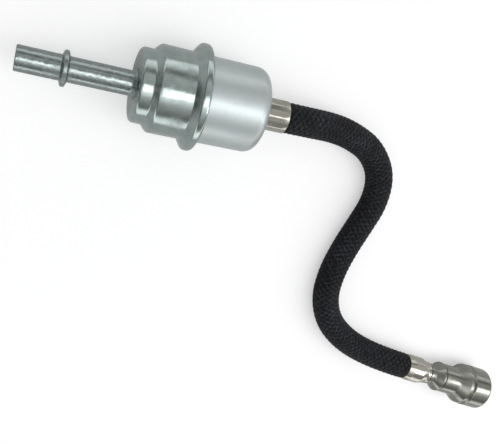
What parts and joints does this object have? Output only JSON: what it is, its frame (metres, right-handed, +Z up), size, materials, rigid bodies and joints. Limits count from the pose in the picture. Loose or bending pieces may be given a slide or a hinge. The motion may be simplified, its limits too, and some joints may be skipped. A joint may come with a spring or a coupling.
{
  "type": "inline fuel filter",
  "caption": "Inline metal fuel filter: seamed two-shell can with a beaded male inlet tube and a braided outlet hose ending in a female quick-connect coupling.",
  "frame": {"origin": "on the floor, under the middle of the can with its inlet tube and outlet ferrule", "axes": "+X along the can from inlet to outlet, +Z up"},
  "size_m": [0.2516, 0.1461, 0.0413],
  "materials": {
    "zinc_plated_steel": "bright zinc plating, slightly green, glossy",
    "satin_zinc_steel": "pale satin plated steel",
    "nickel_ferrule": "warm grey nickel-plated brass or steel, satin",
    "coupling_steel": "turned steel, dull olive-grey plating, satin",
    "braid_textile": "black textile overbraid, matt",
    "hose_rubber": "black fuel-resistant rubber",
    "filter_paper": "resin-treated filter paper",
    "tinned_steel": "plain tinned sheet",
    "spring_steel": "oiled spring steel",
    "fluoro_rubber": "dark fluoroelastomer",
    "nitrile_rubber": "black nitrile rubber",
    "nylon_bush": "natural nylon"
  },
  "bodies": {
    "can": {"inlet_shell": "zinc_plated_steel", "outlet_shell": "satin_zinc_steel", "seam_gasket": "nitrile_rubber", "inlet_tube": "zinc_plated_steel", "outlet_nipple": "coupling_steel", "outlet_ferrule": "nickel_ferrule", "element_spring": "spring_steel", "hose_liner": "hose_rubber", "hose_braid": "braid_textile", "end_ferrule": "nickel_ferrule", "coupling_body": "coupling_steel", "inner_o_ring": "fluoro_rubber", "o_ring_spacer": "nylon_bush", "outer_o_ring": "fluoro_rubber", "o_ring_bush": "nylon_bush", "retainer_shell": "coupling_steel", "locking_retainer": "spring_steel"},
    "element": {"element_pleats": "filter_paper", "element_core": "tinned_steel", "inlet_end_cap": "tinned_steel", "outlet_end_cap": "tinned_steel", "outlet_seal": "fluoro_rubber"}
  },
  "joints": [
    {"name": "element_slide", "type": "slide", "parent": "can", "child": "element", "axis": [-1, 0, 0], "range_m": [0, 0.0015], "stiffness_N_per_m": 1500, "springref_m": -0.008, "deforming": ["element_spring"]}
  ]
}
